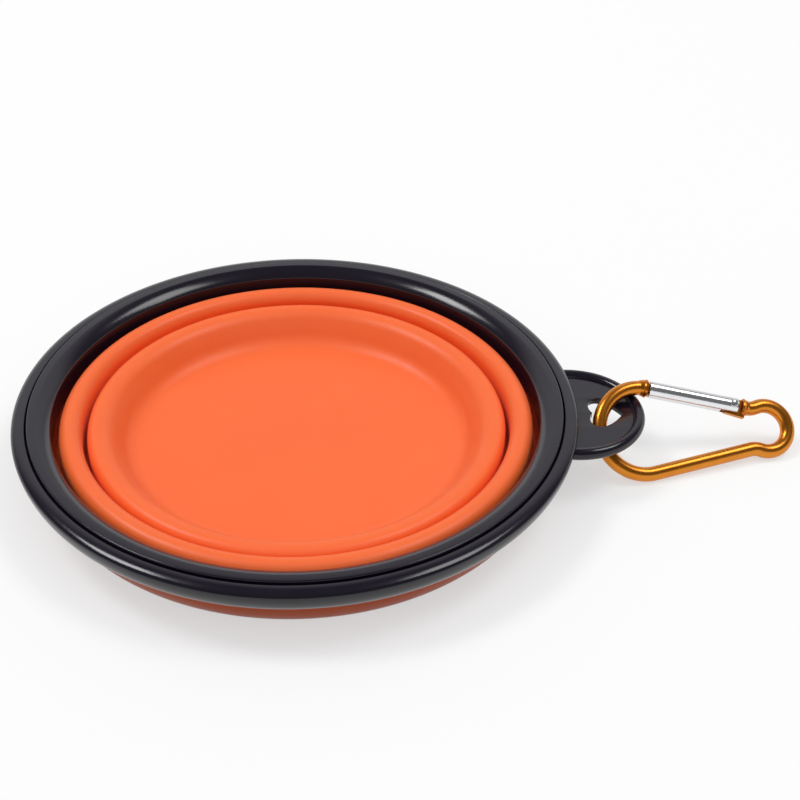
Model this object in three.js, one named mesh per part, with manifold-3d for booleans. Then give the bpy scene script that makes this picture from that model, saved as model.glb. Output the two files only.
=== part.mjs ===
// A collapsible travel bowl, folded flat: one soft moulding in a hard two-part rim, with a hang tab and a snap hook.
// Millimetres, +Z up. The origin is the centre of the underside, and the hang tab points along +X.
import * as THREE from "three";
import { mergeVertices } from "three/addons/utils/BufferGeometryUtils.js";
import Module from "manifold-3d";

const wasm = await Module();
wasm.setup();

// Fits and facets
const CLAMP_GAP = 0.1; // between faces that are clamped together
const SEAM_GAP = 0.05; // hairline between two sections of the one soft moulding
const LOOSE_GAP = 0.3; // round pieces that move
const BOWL_FACETS = 54;
const FOLD_STEPS = 3; // facets in a quarter turn of a fold
const WALL_STEPS = 6; // and of the long turn down to the floor
const ROD_FACETS = 12;
const CUT_MARGIN = 1; // how far a cutting tool runs past what it cuts

// Rim: an outer hoop with a shelf, and an inner ring snapped into it over the bowl's flange.
// Radii step inwards from the rim's edge, and heights step down from the rim's flat top.
const RIM_RADIUS = 65;
const RIM_HEIGHT = 15.5; // table to the flat top of the inner ring, bowl folded
const HOOP_WIDTH = 3.7;
const HOOP_CROWN_DROP = 0.5;
const HOOP_WIDEST_DROP = 3.2;
const HOOP_BOTTOM_DROP = 5.2;
const HOOP_UNDER_RADIUS = 1.8; // how far the bead's lower side curls in
const SHELF_WIDTH = 1.7;
const RING_WIDTH = 5.1;
const RING_THICKNESS = 2.35;
const RING_SHOULDER = { width: 4.2, drop: 5 }; // round inner side of the ring
const SHOULDER_STEPS = 5;
const SKIRT_WALL = 1.2; // the ring's inner wall, inside the bowl's
const SKIRT_DEPTH = 8;
const PARTING_GAP = 0.4; // dark line between hoop and ring
const RIB_DEPTH = 0.5;
const RIB_HEIGHT = 0.8;
const RIB_DROP = 1.4;
const FLANGE_THICKNESS = 1.1;

const HOOP_INNER_RADIUS = RIM_RADIUS - HOOP_WIDTH;
const HOOP_CROWN_HEIGHT = RIM_HEIGHT - HOOP_CROWN_DROP;
const HOOP_WIDEST_HEIGHT = RIM_HEIGHT - HOOP_WIDEST_DROP;
const HOOP_BOTTOM = RIM_HEIGHT - HOOP_BOTTOM_DROP;
const SHELF_RADIUS = HOOP_INNER_RADIUS - SHELF_WIDTH;
const RING_INNER_RADIUS = HOOP_INNER_RADIUS - PARTING_GAP - RING_WIDTH;
const RING_BOTTOM = RIM_HEIGHT - RING_THICKNESS;
const SKIRT_RADIUS = RING_INNER_RADIUS + SKIRT_WALL;
const SKIRT_BOTTOM = RIM_HEIGHT - SKIRT_DEPTH;
const FLANGE_TOP = RING_BOTTOM - CLAMP_GAP;
const FLANGE_BOTTOM = FLANGE_TOP - FLANGE_THICKNESS;
const SHELF_HEIGHT = FLANGE_BOTTOM - CLAMP_GAP;
const RIB_CENTRE_HEIGHT = RIM_HEIGHT - RIB_DROP;

// Soft bowl: floor, two crests and two valleys, with a thin hinge at each turn
const WALL = 1.4;
const OUTER_WALL = 2.6;
const HINGE = 1.2;
const FLOOR_THICKNESS = 4.0;
const FLOOR_FILLET = 2.2;
const FLOOR_WALL_WIDTH = 7; // inner crest to the foot of its round inner side
const FOOT_STEP = 6.6; // inner crest to the edge of the underside
const FOOT_BEVEL = 1.0;
const OUTER_VALLEY_STEP = 0.5; // each fold's place, inwards from the one before
const OUTER_CREST_STEP = 3.6;
const INNER_VALLEY_STEP = 3.1;
const INNER_CREST_STEP = 2.8;
const OUTER_CREST_DROP = 2.8;
const INNER_CREST_DROP = 4.3;
const OUTER_VALLEY = { radius: RING_INNER_RADIUS - OUTER_VALLEY_STEP, bottom: 0.8, halfGap: 1.3 };
const OUTER_CREST = {
  radius: OUTER_VALLEY.radius - OUTER_CREST_STEP,
  top: RIM_HEIGHT - OUTER_CREST_DROP,
  halfWidth: 2.6,
};
const INNER_VALLEY = { radius: OUTER_CREST.radius - INNER_VALLEY_STEP, bottom: 1.0, halfGap: 0.5 };
const INNER_CREST = {
  radius: INNER_VALLEY.radius - INNER_CREST_STEP,
  top: RIM_HEIGHT - INNER_CREST_DROP,
  halfWidth: 2.3,
};
const FOOT_RADIUS = INNER_CREST.radius - FOOT_STEP;

// Hang tab: a round plate with a beaded edge and a heart-shaped hole
const TAB_RADIUS = 16.6;
const TAB_INSET = 1.3; // rim's edge to the tab's centre
const TAB_DROP = 3.4;
const TAB_THICKNESS = 1.6;
const TAB_BEAD_RADIUS = 1.4;
const TAB_BEAD_DROP = 3.75;
const TAB_FACETS = 48;
const HEART_OFFSET = 3.3; // rim's edge to the heart's cusp
const HEART_LENGTH = 7; // cusp to point
const HEART_WIDTH = 10.4;
const HEART_LOBE = { back: 0.16, widest: 0.2, inner: 0.3 }; // shares of the heart's length and half width
const HEART_FLANK = { shoulder: 0.52, taper: 0.84, inner: 0.36 };
const HEART_STEPS = 8;
const TAB_CENTRE_X = RIM_RADIUS - TAB_INSET;
const TAB_TOP = RIM_HEIGHT - TAB_DROP;
const TAB_BEAD_HEIGHT = RIM_HEIGHT - TAB_BEAD_DROP;
const HEART_CUSP_X = RIM_RADIUS + HEART_OFFSET;

// Snap hook: a round rod bent to a gourd outline, big end through the tab, lying on the table
const ROD_DIAMETER = 3.24;
const BIG_RADIUS = 10.3;
const BULB_RADIUS = 5.5;
const BULB_DISTANCE = 31.1; // between the centres of the two ends
const LIMB_ANGLE = 11.8; // degrees that each limb leans to the axis
const NECK_RADIUS = 5;
const HOOK_STEPS = 64;
const CROSSING_TURN = 27; // degrees round the big end, from level to where the rod passes through the hole
const HOOK_YAW = 9.8; // degrees between the hook's axis and the tab's
const CROSSING_PAST_CUSP = 1.7;
const CROSSING_ASIDE = -1.2;

// Gate: a bored rod on a rivet, with a spring and a plunger that press on the hinge lug
const GATE_DIAMETER = 3.6;
const GATE_START = 0.5;
const GATE_END_PAST_RIVET = 1.3;
const GATE_BORE = 2.6;
const BORE_BOTTOM = 6;
const RIVET_BEFORE_NECK = 3.6; // along the gate's limb, from where the rod bends
const RIVET_DIAMETER = 1.1;
const RIVET_HEAD_DIAMETER = 2;
const RIVET_HEAD_HEIGHT = 0.4;
const LUG_THICKNESS = 1.4;
const LUG_WIDTH = 3.0;
const LUG_REACH = 2.0; // from the rivet towards the plunger
const TAIL = { reach: 1.4, depth: 2.45 }; // the lug's lower part, seen below the gate
const COLLAR_DIAMETER = 3.9;
const COLLAR_CHAMFER = 0.35;
const NOSE_COLLAR_LENGTH = 2.0;
const HINGE_COLLAR_LENGTH = 1.7;
const COLLAR_PAST_RIVET = 2.4;
const TONGUE = { length: 2.5, thickness: 1.2, depth: 2.2 };
const SPRING_WIRE = 0.4;
const SPRING_DIAMETER = 2.1;
const SPRING_LENGTH = 8.2;
const SPRING_CURLS = 9;
const SPRING_STEPS = 8;
const SPRING_SIDES = 5;
const PLUNGER_DIAMETER = 2.0;
const PLUNGER_STEM_DIAMETER = 0.9;
const PLUNGER_STEM_LENGTH = 2.4;

// Materials
const blackPlastic = { color: 0x16171a, roughness: 0.28, metalness: 0 };
const orangeSilicone = { color: 0xf0601f, roughness: 0.45, metalness: 0 };
const goldAluminium = { color: 0xd9952b, roughness: 0.25, metalness: 1 };
const silverAluminium = { color: 0xd9dade, roughness: 0.3, metalness: 1 };
const steel = { color: 0xa8aab0, roughness: 0.3, metalness: 1 };

// Solids: joining and cutting closed meshes
function solidOf(geometry) {
  const bare = geometry.index ? geometry.toNonIndexed() : geometry.clone();
  bare.deleteAttribute("normal");
  bare.deleteAttribute("uv");
  const merged = mergeVertices(bare, 1e-4);
  return new wasm.Manifold(
    new wasm.Mesh({
      numProp: 3,
      vertProperties: merged.attributes.position.array,
      triVerts: new Uint32Array(merged.index.array),
    }),
  );
}

function geometryOf(solid) {
  const { vertProperties, triVerts } = solid.getMesh();
  return new THREE.BufferGeometry()
    .setAttribute("position", new THREE.BufferAttribute(vertProperties, 3))
    .setIndex(new THREE.BufferAttribute(triVerts, 1));
}

function namedMesh(name, geometry, look) {
  const mesh = new THREE.Mesh(geometry, new THREE.MeshStandardMaterial(look));
  mesh.name = name;
  return mesh;
}

// A point of a turned section.
const at = (r, z) => new THREE.Vector2(r, z);

// A box between two corners.
function boxBetween(low, high) {
  const size = high.map((value, i) => value - low[i]);
  const middle = high.map((value, i) => (value + low[i]) / 2);
  return new THREE.BoxGeometry(...size).translate(...middle);
}

// A cylinder along X between two places, with an optional chamfer at both ends.
function rodAlongX(start, end, radius, chamfer = 0) {
  const square = [at(radius, start), at(radius, end)];
  const bevelled = [
    at(radius - chamfer, start),
    at(radius, start + chamfer),
    at(radius, end - chamfer),
    at(radius - chamfer, end),
  ];
  const side = chamfer ? bevelled : square;
  return new THREE.LatheGeometry([at(0, start), ...side, at(0, end)], ROD_FACETS).rotateZ(-Math.PI / 2);
}

// Points of an elliptical arc in a section, angles in degrees.
function arc(r, z, width, height, from, to, steps = FOLD_STEPS) {
  return Array.from({ length: steps + 1 }, (_, i) => {
    const angle = THREE.MathUtils.degToRad(from + ((to - from) * i) / steps);
    return new THREE.Vector2(r + width * Math.cos(angle), z + height * Math.sin(angle));
  });
}

// Turns a section about the bowl's axis. A section away from the axis is a closed outline.
function turned(section) {
  const onAxis = section[0].x === 0;
  const outline = onAxis ? section : [...section, section[0].clone()];
  return new THREE.LatheGeometry(outline, BOWL_FACETS).rotateX(Math.PI / 2);
}

// The centre of a fold's rounding.
const crestCentre = (crest) => crest.top - crest.halfWidth;
const valleyCentre = (valley) => valley.bottom + HINGE + valley.halfGap;

// One quarter of a valley's upper, visible side or of its underside, on the given side (1 outwards, -1 inwards).
function valleyTop(valley, side) {
  const { radius, halfGap } = valley;
  const end = side > 0 ? 0 : -180;
  const points = arc(radius, valleyCentre(valley), halfGap, halfGap, end, -90);
  points[FOLD_STEPS].x = radius + (side * SEAM_GAP) / 2;
  return points;
}

function valleyUnder(valley, side, wall) {
  const { radius, halfGap } = valley;
  const end = side > 0 ? 0 : -180;
  const points = arc(radius, valleyCentre(valley), halfGap + wall, halfGap + HINGE, -90, end);
  points[0].x = radius + (side * SEAM_GAP) / 2;
  return points;
}

// One quarter of a crest's outer side or of the hollow beneath it.
function crestTop(crest, side) {
  const { radius, halfWidth } = crest;
  const start = side > 0 ? 0 : 180;
  const points = arc(radius, crestCentre(crest), halfWidth, halfWidth, start, 90);
  points[FOLD_STEPS].x = radius + (side * SEAM_GAP) / 2;
  return points;
}

function crestHollow(crest, side) {
  const { radius, halfWidth } = crest;
  const start = side > 0 ? 0 : 180;
  const points = arc(radius, crestCentre(crest), halfWidth - WALL, halfWidth - HINGE, 90, start);
  points[0].x = radius + (side * SEAM_GAP) / 2;
  return points;
}

// Soft bowl sections, from the rim inwards
function rimWall() {
  const flangeRadius = HOOP_INNER_RADIUS - LOOSE_GAP;
  const wallInside = SKIRT_RADIUS + CLAMP_GAP;
  return turned([
    ...valleyUnder(OUTER_VALLEY, 1, OUTER_WALL),
    at(SHELF_RADIUS - LOOSE_GAP, FLANGE_BOTTOM),
    at(flangeRadius, FLANGE_BOTTOM),
    at(flangeRadius, FLANGE_TOP),
    at(wallInside, FLANGE_TOP),
    at(wallInside, SKIRT_BOTTOM - CLAMP_GAP),
    ...valleyTop(OUTER_VALLEY, 1),
  ]);
}

function risingFold(valley, crest) {
  return turned([
    ...valleyTop(valley, -1).reverse(),
    ...crestTop(crest, 1),
    ...crestHollow(crest, 1),
    ...valleyUnder(valley, -1, WALL).reverse(),
  ]);
}

function middleWall() {
  return turned([
    ...valleyUnder(INNER_VALLEY, 1, WALL),
    ...crestHollow(OUTER_CREST, -1).reverse(),
    ...crestTop(OUTER_CREST, -1).reverse(),
    ...valleyTop(INNER_VALLEY, 1),
  ]);
}

// The inner crest's inner side is a long quarter turn down to the floor's fillet.
function baseCup() {
  const { radius, top } = INNER_CREST;
  const filletHeight = FLOOR_THICKNESS + FLOOR_FILLET;
  const drop = top - filletHeight;
  const floorEdge = radius - FLOOR_WALL_WIDTH - FLOOR_FILLET;
  const inside = arc(radius, filletHeight, FLOOR_WALL_WIDTH, drop, 90, 180, WALL_STEPS);
  const under = arc(radius, filletHeight, FLOOR_WALL_WIDTH - WALL, drop - HINGE, 180, 90, WALL_STEPS);
  inside[0].x = radius - SEAM_GAP / 2;
  under[WALL_STEPS].x = radius - SEAM_GAP / 2;
  return turned([
    at(0, 0),
    at(FOOT_RADIUS, 0),
    at(FOOT_RADIUS + FOOT_BEVEL, FOOT_BEVEL),
    ...under,
    ...inside,
    ...arc(floorEdge, filletHeight, FLOOR_FILLET, FLOOR_FILLET, 0, -90).slice(1),
    at(0, FLOOR_THICKNESS),
  ]);
}

// Rim pieces
function clampRing() {
  const outer = HOOP_INNER_RADIUS - PARTING_GAP;
  const { width, drop } = RING_SHOULDER;
  return turned([
    at(RING_INNER_RADIUS, SKIRT_BOTTOM),
    at(SKIRT_RADIUS, SKIRT_BOTTOM),
    at(SKIRT_RADIUS, RING_BOTTOM),
    at(outer, RING_BOTTOM),
    at(outer, RIB_CENTRE_HEIGHT - RIB_HEIGHT / 2),
    at(outer + RIB_DEPTH, RIB_CENTRE_HEIGHT),
    at(outer, RIB_CENTRE_HEIGHT + RIB_HEIGHT / 2),
    at(outer, RIM_HEIGHT - LOOSE_GAP),
    at(outer - LOOSE_GAP, RIM_HEIGHT),
    ...arc(RING_INNER_RADIUS + width, RIM_HEIGHT - drop, width, drop, 90, 180, SHOULDER_STEPS),
  ]);
}

function hoop() {
  const crownStart = HOOP_INNER_RADIUS + LOOSE_GAP;
  const crownWidth = RIM_RADIUS - crownStart;
  const crownRise = HOOP_CROWN_HEIGHT - HOOP_WIDEST_HEIGHT;
  const underStart = RIM_RADIUS - HOOP_UNDER_RADIUS;
  const underDrop = HOOP_WIDEST_HEIGHT - HOOP_BOTTOM;
  const grooveHalf = RIB_HEIGHT / 2 + LOOSE_GAP;
  return turned([
    at(SHELF_RADIUS, HOOP_BOTTOM),
    ...arc(underStart, HOOP_WIDEST_HEIGHT, HOOP_UNDER_RADIUS, underDrop, -90, 0),
    ...arc(crownStart, HOOP_WIDEST_HEIGHT, crownWidth, crownRise, 0, 90, FOLD_STEPS + 2).slice(1),
    at(HOOP_INNER_RADIUS, HOOP_CROWN_HEIGHT - LOOSE_GAP / 2),
    at(HOOP_INNER_RADIUS, RIB_CENTRE_HEIGHT + grooveHalf),
    at(HOOP_INNER_RADIUS + RIB_DEPTH, RIB_CENTRE_HEIGHT),
    at(HOOP_INNER_RADIUS, RIB_CENTRE_HEIGHT - grooveHalf),
    at(HOOP_INNER_RADIUS, SHELF_HEIGHT),
    at(SHELF_RADIUS, SHELF_HEIGHT),
  ]);
}

// A heart with its cusp towards the rim and its point outwards.
function heartOutline() {
  const cusp = HEART_CUSP_X;
  const tip = cusp + HEART_LENGTH;
  const half = HEART_WIDTH / 2;
  const widest = cusp + HEART_LOBE.widest * HEART_LENGTH;
  const back = cusp - HEART_LOBE.back * HEART_LENGTH;
  const flank = cusp + HEART_FLANK.shoulder * HEART_LENGTH;
  const nearTip = cusp + HEART_FLANK.taper * HEART_LENGTH;
  const lobe = HEART_LOBE.inner * half;
  const point = HEART_FLANK.inner * half;
  const heart = new THREE.Path();
  heart.moveTo(cusp, 0);
  heart.bezierCurveTo(back, lobe, back, half, widest, half);
  heart.bezierCurveTo(flank, half, nearTip, point, tip, 0);
  heart.bezierCurveTo(nearTip, -point, flank, -half, widest, -half);
  heart.bezierCurveTo(back, -half, back, -lobe, cusp, 0);
  return heart;
}

function rimHoop() {
  const beadLine = TAB_RADIUS - TAB_BEAD_RADIUS;
  const outline = new THREE.Shape();
  outline.absarc(TAB_CENTRE_X, 0, beadLine, 0, 2 * Math.PI);
  outline.holes.push(new THREE.Path(heartOutline().getPoints(HEART_STEPS)));
  const plate = new THREE.ExtrudeGeometry(outline, {
    depth: TAB_THICKNESS,
    bevelEnabled: false,
    curveSegments: TAB_FACETS / 2, // an arc takes two facets for each segment
  });
  plate.translate(0, 0, TAB_TOP - TAB_THICKNESS);
  const bead = new THREE.TorusGeometry(beadLine, TAB_BEAD_RADIUS, ROD_FACETS, TAB_FACETS);
  bead.translate(TAB_CENTRE_X, 0, TAB_BEAD_HEIGHT);
  const insideRadius = (HOOP_INNER_RADIUS + RIM_RADIUS) / 2;
  const inside = new THREE.CylinderGeometry(insideRadius, insideRadius, 2 * RIM_HEIGHT, BOWL_FACETS);
  inside.rotateX(Math.PI / 2);
  const tab = solidOf(plate).add(solidOf(bead)).subtract(solidOf(inside));
  return geometryOf(solidOf(hoop()).add(tab));
}

// Snap hook. In the hook's own frame X runs from the big end to the bulb, and the gate's limb is on the +Y side.
const limbAngle = THREE.MathUtils.degToRad(LIMB_ANGLE);
const rodRadius = ROD_DIAMETER / 2;

// The centre of the neck's bend on the gate's side, and the limb's straight length up to it.
const neckReach = BULB_RADIUS + NECK_RADIUS;
const neckRise = BIG_RADIUS + NECK_RADIUS - BULB_DISTANCE * Math.sin(limbAngle);
const neckAngle = limbAngle + Math.asin(neckRise / neckReach);
const neckX = BULB_DISTANCE - neckReach * Math.cos(neckAngle);
const neckY = neckReach * Math.sin(neckAngle);
const limbLength = neckX * Math.cos(limbAngle) - neckY * Math.sin(limbAngle);
const rivetPlace = limbLength - RIVET_BEFORE_NECK;

// Both ends touch the table and the rod meets the plate at its height, which gives the hook's lean and its dip.
function hookFrame() {
  const plateMiddle = TAB_TOP - TAB_THICKNESS / 2;
  const turn = THREE.MathUtils.degToRad(CROSSING_TURN);
  const slope = (plateMiddle - rodRadius) / (BIG_RADIUS * (1 + Math.sin(turn)));
  const dip = (-slope * (BIG_RADIUS - BULB_RADIUS)) / BULB_DISTANCE;
  const level = Math.sqrt(1 - dip * dip);
  const rise = Math.sqrt(slope * slope - dip * dip);
  const lean = Math.asin(rise / level);
  const yaw = THREE.MathUtils.degToRad(HOOK_YAW);
  const along = new THREE.Vector3(Math.cos(yaw) * level, Math.sin(yaw) * level, dip);
  const flat = new THREE.Vector3(-Math.sin(yaw), Math.cos(yaw), 0);
  const raised = new THREE.Vector3().crossVectors(along, flat);
  const across = flat.multiplyScalar(Math.cos(lean)).addScaledVector(raised, Math.sin(lean));
  const normal = new THREE.Vector3().crossVectors(along, across);
  const angle = Math.PI - turn + Math.atan2(-dip, rise);
  const centre = new THREE.Vector3(HEART_CUSP_X + CROSSING_PAST_CUSP, CROSSING_ASIDE, plateMiddle)
    .addScaledVector(along, -BIG_RADIUS * Math.cos(angle))
    .addScaledVector(across, -BIG_RADIUS * Math.sin(angle));
  return new THREE.Matrix4().makeBasis(along, across, normal).setPosition(centre);
}

// The gate's limb frame: X along the limb from the nose to the hinge, Y away from the loop.
const limbFrame = new THREE.Matrix4()
  .makeRotationZ(-limbAngle)
  .setPosition(BIG_RADIUS * Math.sin(limbAngle), BIG_RADIUS * Math.cos(limbAngle), 0);

// A flat outline carried into space, for the rod to follow.
class FlatCurve extends THREE.Curve {
  constructor(path) {
    super();
    this.path = path;
  }
  getPoint(t, target = new THREE.Vector3()) {
    const point = this.path.getPoint(t);
    return target.set(point.x, point.y, 0);
  }
}

function hookRod() {
  const quarter = Math.PI / 2;
  const path = new THREE.Path();
  path.absarc(0, 0, BIG_RADIUS, quarter - limbAngle, limbAngle - quarter, false);
  path.absarc(neckX, -neckY, NECK_RADIUS, quarter + limbAngle, neckAngle, true);
  path.absarc(BULB_DISTANCE, 0, BULB_RADIUS, neckAngle - Math.PI, Math.PI - neckAngle, false);
  path.absarc(neckX, neckY, NECK_RADIUS, -neckAngle, -quarter - limbAngle, true);
  const section = new THREE.Shape();
  section.absarc(0, 0, rodRadius, 0, 2 * Math.PI);
  return new THREE.ExtrudeGeometry(section, {
    steps: HOOK_STEPS,
    curveSegments: ROD_FACETS / 2,
    extrudePath: new FlatCurve(path),
  });
}

const rivetHole = RIVET_DIAMETER / 2 + LOOSE_GAP;
const lugEnd = rivetPlace - LUG_REACH;
const hingeFace = rivetPlace + COLLAR_PAST_RIVET;

function rivetBore(radius) {
  const bore = new THREE.CylinderGeometry(radius, radius, 2 * GATE_DIAMETER, ROD_FACETS);
  return solidOf(bore.rotateX(Math.PI / 2).translate(rivetPlace, 0, 0));
}

function hookFrameBody() {
  const collarRadius = COLLAR_DIAMETER / 2;
  const noseEnd = GATE_START - LOOSE_GAP;
  const halfLug = LUG_THICKNESS / 2;
  const noseCollar = rodAlongX(noseEnd - NOSE_COLLAR_LENGTH, noseEnd, collarRadius, COLLAR_CHAMFER);
  const hingeCollar = rodAlongX(hingeFace, hingeFace + HINGE_COLLAR_LENGTH, collarRadius, COLLAR_CHAMFER);
  const lug = boxBetween(
    [lugEnd, -LUG_WIDTH / 2, -halfLug],
    [hingeFace + HINGE_COLLAR_LENGTH / 2, LUG_WIDTH / 2, halfLug],
  );
  const tail = boxBetween(
    [rivetPlace - TAIL.reach, -TAIL.depth, -halfLug],
    [hingeFace + HINGE_COLLAR_LENGTH / 2, 0, halfLug],
  );
  const tongueLow = LOOSE_GAP - GATE_BORE / 2;
  const tongue = boxBetween(
    [noseEnd - NOSE_COLLAR_LENGTH / 2, tongueLow, -TONGUE.thickness / 2],
    [noseEnd + TONGUE.length, tongueLow + TONGUE.depth, TONGUE.thickness / 2],
  );
  const ends = solidOf(noseCollar)
    .add(solidOf(hingeCollar))
    .add(solidOf(lug))
    .add(solidOf(tail))
    .add(solidOf(tongue))
    .subtract(rivetBore(rivetHole));
  const placed = geometryOf(ends).applyMatrix4(limbFrame);
  return geometryOf(solidOf(hookRod()).add(solidOf(placed)));
}

function gate() {
  const far = 2 * GATE_DIAMETER;
  const end = rivetPlace + GATE_END_PAST_RIVET;
  const halfSlot = LUG_THICKNESS / 2 + LOOSE_GAP;
  const lugCorner = Math.hypot(LUG_REACH, LUG_WIDTH / 2);
  const slotEnd = rivetPlace - lugCorner - LOOSE_GAP;
  const noseSlotEnd = GATE_START + TONGUE.length + LOOSE_GAP;
  const noseHalf = TONGUE.thickness / 2 + LOOSE_GAP;
  const rod = solidOf(rodAlongX(GATE_START, end, GATE_DIAMETER / 2));
  const bore = solidOf(rodAlongX(BORE_BOTTOM, end + CUT_MARGIN, GATE_BORE / 2));
  const hingeSlot = boxBetween([slotEnd, -far, -halfSlot], [end + CUT_MARGIN, far, halfSlot]);
  const noseSlot = boxBetween([GATE_START - CUT_MARGIN, -GATE_BORE / 2, -noseHalf], [noseSlotEnd, far, noseHalf]);
  return geometryOf(
    rod.subtract(bore).subtract(solidOf(hingeSlot)).subtract(solidOf(noseSlot)).subtract(rivetBore(rivetHole)),
  );
}

function rivet() {
  const shank = RIVET_DIAMETER / 2;
  const head = RIVET_HEAD_DIAMETER / 2;
  const seat = GATE_DIAMETER / 2 + LOOSE_GAP / 2;
  const crown = arc(0, seat, head, RIVET_HEAD_HEIGHT, 0, 90, FOLD_STEPS);
  crown[FOLD_STEPS].x = 0;
  const upper = [at(shank, seat), ...crown];
  const lower = upper.map((point) => at(point.x, -point.y)).reverse();
  const body = new THREE.LatheGeometry([...lower, ...upper], ROD_FACETS);
  return body.rotateX(Math.PI / 2).translate(rivetPlace, 0, 0);
}

// The spring's wire as one unbroken helix, with the least distance between neighbouring curls printed.
function spring() {
  const start = BORE_BOTTOM + LOOSE_GAP + SPRING_WIRE / 2;
  const radius = (SPRING_DIAMETER - SPRING_WIRE) / 2;
  const pitch = (SPRING_LENGTH - SPRING_WIRE) / SPRING_CURLS;
  const steps = SPRING_CURLS * SPRING_STEPS;
  const centreAt = (turn) =>
    new THREE.Vector3(
      start + pitch * turn,
      radius * Math.cos(2 * Math.PI * turn),
      radius * Math.sin(2 * Math.PI * turn),
    );
  const positions = [];
  const triangles = [];
  for (let i = 0; i <= steps; i += 1) {
    const turn = i / SPRING_STEPS;
    const centre = centreAt(turn);
    const outward = new THREE.Vector3(0, centre.y, centre.z).normalize();
    for (let j = 0; j < SPRING_SIDES; j += 1) {
      const angle = (2 * Math.PI * j) / SPRING_SIDES;
      const point = centre.clone().addScaledVector(outward, (SPRING_WIRE / 2) * Math.cos(angle));
      point.x += (SPRING_WIRE / 2) * Math.sin(angle);
      positions.push(point.x, point.y, point.z);
    }
  }
  for (let i = 0; i < steps; i += 1) {
    for (let j = 0; j < SPRING_SIDES; j += 1) {
      const a = i * SPRING_SIDES + j;
      const b = i * SPRING_SIDES + ((j + 1) % SPRING_SIDES);
      triangles.push(a, a + SPRING_SIDES, b, b, a + SPRING_SIDES, b + SPRING_SIDES);
    }
  }
  for (let j = 1; j < SPRING_SIDES - 1; j += 1) {
    const last = steps * SPRING_SIDES;
    triangles.push(0, j, j + 1, last, last + j + 1, last + j);
  }
  let least = Infinity;
  for (let i = 0; i <= steps; i += 1) {
    for (let k = i + SPRING_STEPS / 2; k <= steps; k += 1) {
      const distance = centreAt(i / SPRING_STEPS).distanceTo(centreAt(k / SPRING_STEPS));
      least = Math.min(least, distance - SPRING_WIRE);
    }
  }
  console.log("least gap between the spring's curls", least.toFixed(2), "mm");
  return new THREE.BufferGeometry()
    .setAttribute("position", new THREE.Float32BufferAttribute(positions, 3))
    .setIndex(triangles);
}

function plunger() {
  const shoulder = BORE_BOTTOM + SPRING_LENGTH + 2 * LOOSE_GAP;
  const tip = lugEnd - LOOSE_GAP;
  const radius = PLUNGER_DIAMETER / 2;
  const stem = PLUNGER_STEM_DIAMETER / 2;
  const dome = arc(0, tip - radius, radius, radius, 0, 90, FOLD_STEPS);
  dome[FOLD_STEPS].x = 0;
  const section = [
    at(0, shoulder - PLUNGER_STEM_LENGTH),
    at(stem, shoulder - PLUNGER_STEM_LENGTH),
    at(stem, shoulder),
    at(radius, shoulder),
    ...dome,
  ];
  return new THREE.LatheGeometry(section, ROD_FACETS).rotateZ(-Math.PI / 2);
}

// Assembly
const bowl = new THREE.Group();
bowl.add(namedMesh("base_cup", baseCup(), orangeSilicone));
bowl.add(namedMesh("inner_fold", risingFold(INNER_VALLEY, INNER_CREST), orangeSilicone));
bowl.add(namedMesh("middle_wall", middleWall(), orangeSilicone));
bowl.add(namedMesh("outer_fold", risingFold(OUTER_VALLEY, OUTER_CREST), orangeSilicone));
bowl.add(namedMesh("rim_wall", rimWall(), orangeSilicone));
bowl.add(namedMesh("clamp_ring", clampRing(), blackPlastic));
bowl.add(namedMesh("rim_hoop", rimHoop(), blackPlastic));

const gateGroup = new THREE.Group();
limbFrame.decompose(gateGroup.position, gateGroup.quaternion, gateGroup.scale);
gateGroup.add(namedMesh("hook_gate", gate(), silverAluminium));
gateGroup.add(namedMesh("gate_rivet", rivet(), steel));
gateGroup.add(namedMesh("gate_spring", spring(), steel));
gateGroup.add(namedMesh("gate_plunger", plunger(), steel));

const hook = new THREE.Group();
hookFrame().decompose(hook.position, hook.quaternion, hook.scale);
hook.add(namedMesh("hook_frame", hookFrameBody(), goldAluminium));
hook.add(gateGroup);
bowl.add(hook);

export default bowl;
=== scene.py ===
"""A collapsible travel bowl, folded flat, with a hang tab and a spring-gate snap hook.

Sizes are in millimetres. Those of the lamps and the reach of the shadow are in metres.
"""

import math

import bmesh
import bpy
from mathutils import Matrix, Vector


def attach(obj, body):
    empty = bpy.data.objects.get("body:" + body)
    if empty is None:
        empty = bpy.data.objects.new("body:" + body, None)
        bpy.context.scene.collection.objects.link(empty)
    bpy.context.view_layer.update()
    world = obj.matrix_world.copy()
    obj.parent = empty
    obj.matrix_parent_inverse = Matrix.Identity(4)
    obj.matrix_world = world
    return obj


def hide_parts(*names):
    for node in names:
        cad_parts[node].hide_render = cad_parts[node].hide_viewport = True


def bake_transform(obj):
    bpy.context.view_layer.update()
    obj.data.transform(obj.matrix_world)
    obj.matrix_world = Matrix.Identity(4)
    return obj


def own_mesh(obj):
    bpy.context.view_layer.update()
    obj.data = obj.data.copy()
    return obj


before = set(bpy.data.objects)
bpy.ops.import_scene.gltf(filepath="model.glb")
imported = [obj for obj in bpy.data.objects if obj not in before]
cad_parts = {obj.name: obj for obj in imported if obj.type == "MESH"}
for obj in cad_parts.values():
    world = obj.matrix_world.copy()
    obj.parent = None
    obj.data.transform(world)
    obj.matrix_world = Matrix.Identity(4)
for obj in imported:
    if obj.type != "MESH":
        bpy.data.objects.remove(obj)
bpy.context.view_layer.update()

MM = 0.001

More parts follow.
